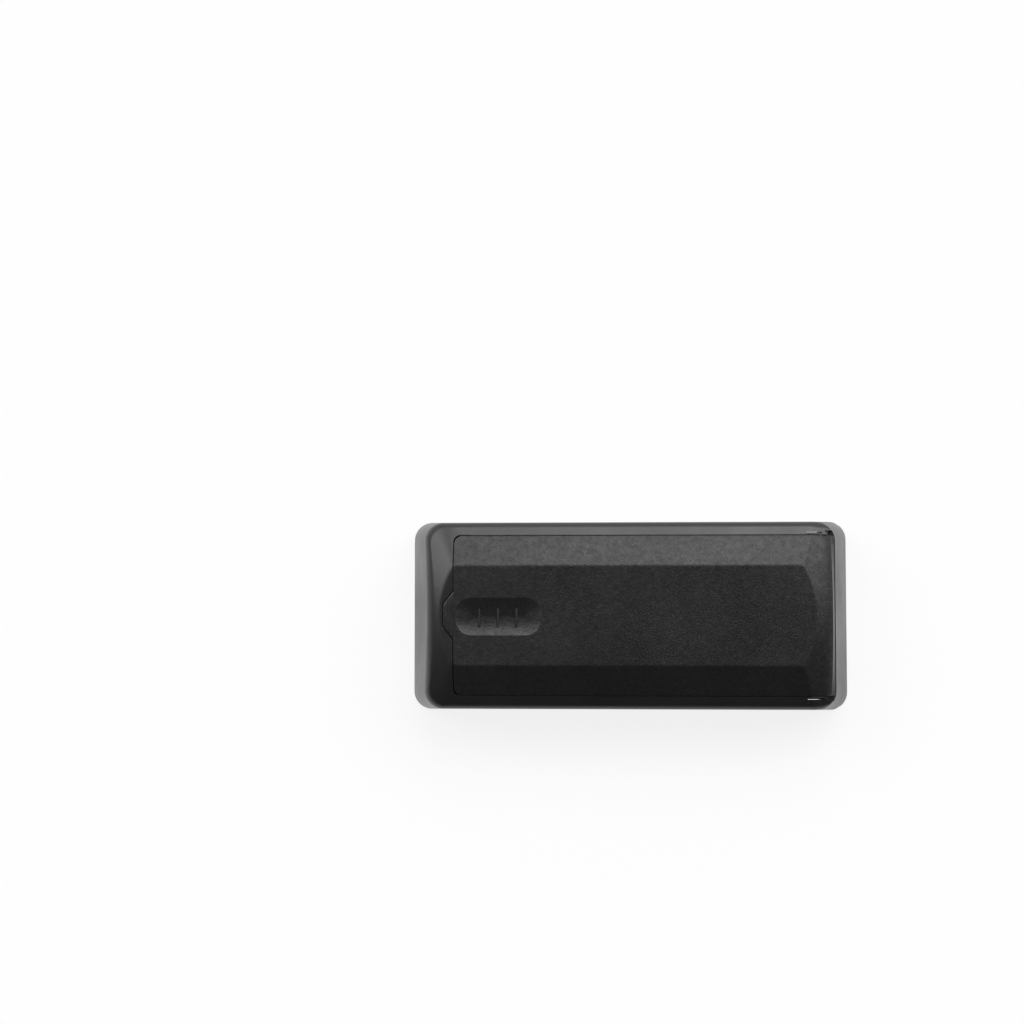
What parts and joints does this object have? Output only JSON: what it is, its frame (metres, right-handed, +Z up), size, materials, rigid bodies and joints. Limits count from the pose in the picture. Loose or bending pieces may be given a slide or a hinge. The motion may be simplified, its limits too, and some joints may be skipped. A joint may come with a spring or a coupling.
{
  "type": "magnetic key holder box",
  "caption": "Slim tapered plastic box with a sliding lid, thumb recess and magnets in its base, for hiding keys and a car remote on a steel surface.",
  "frame": {"origin": "on the plane of the pole strips' feet, below the middle of the box", "axes": "+X along the box, the way the lid opens; +Y across it; +Z up out of the lid"},
  "size_m": [0.12, 0.052, 0.025],
  "materials": {
    "tray_plastic": "black moulded ABS, satin",
    "lid_plastic": "black moulded ABS with a fine grain",
    "ferrite": "ground grey-black ferrite",
    "pole_steel": "zinc-plated mild steel strip",
    "adhesive": "acrylic foam tape",
    "label_film": "black vinyl film"
  },
  "bodies": {
    "box": {"tray": "tray_plastic", "inside_label": "label_film", "magnet_1": "ferrite", "magnet_2": "ferrite", "pole_strip_front_1": "pole_steel", "pole_strip_back_1": "pole_steel", "pole_strip_front_2": "pole_steel", "pole_strip_back_2": "pole_steel", "adhesive_pad_1": "adhesive", "adhesive_pad_2": "adhesive"},
    "lid": {"sliding_lid": "lid_plastic"}
  },
  "joints": [
    {"name": "lid_slide", "type": "slide", "parent": "box", "child": "lid", "axis": [1, 0, 0], "range_m": [0, 0.08]}
  ]
}
